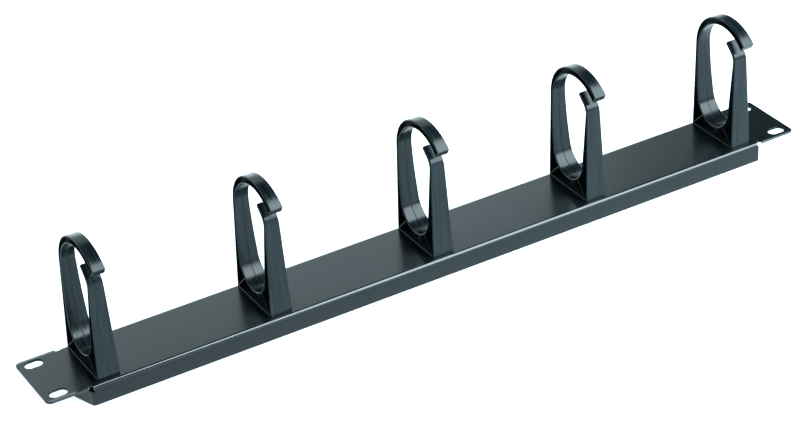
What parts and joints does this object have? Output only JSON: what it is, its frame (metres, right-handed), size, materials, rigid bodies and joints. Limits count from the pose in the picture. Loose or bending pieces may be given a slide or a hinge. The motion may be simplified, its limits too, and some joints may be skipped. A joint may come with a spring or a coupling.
{
  "type": "rack_cable_management_panel",
  "caption": "Black steel rack panel with slotted ears and folded flanges that carries a row of moulded plastic cable rings, each open at a hooked mouth, to keep patch cables tidy",
  "frame": {"origin": "middle of the four rack slots, on the back of the ears, where the panel bears on the rack rails", "axes": "+X along the panel's length, +Y up its height in the rack, +Z out of the rack's front, towards the rings"},
  "size_m": [0.4826, 0.0463, 0.0899],
  "materials": {
    "black_powder_coat": "satin",
    "black_plastic": "semi-gloss",
    "zinc_plated_steel": "bright"
  },
  "bodies": {
    "root": {"panel": "black_powder_coat", "ring_1": "black_plastic", "ring_2": "black_plastic", "ring_3": "black_plastic", "ring_4": "black_plastic", "ring_5": "black_plastic", "ring_screw_1": "zinc_plated_steel", "ring_screw_2": "zinc_plated_steel", "ring_screw_3": "zinc_plated_steel", "ring_screw_4": "zinc_plated_steel", "ring_screw_5": "zinc_plated_steel"}
  },
  "joints": []
}
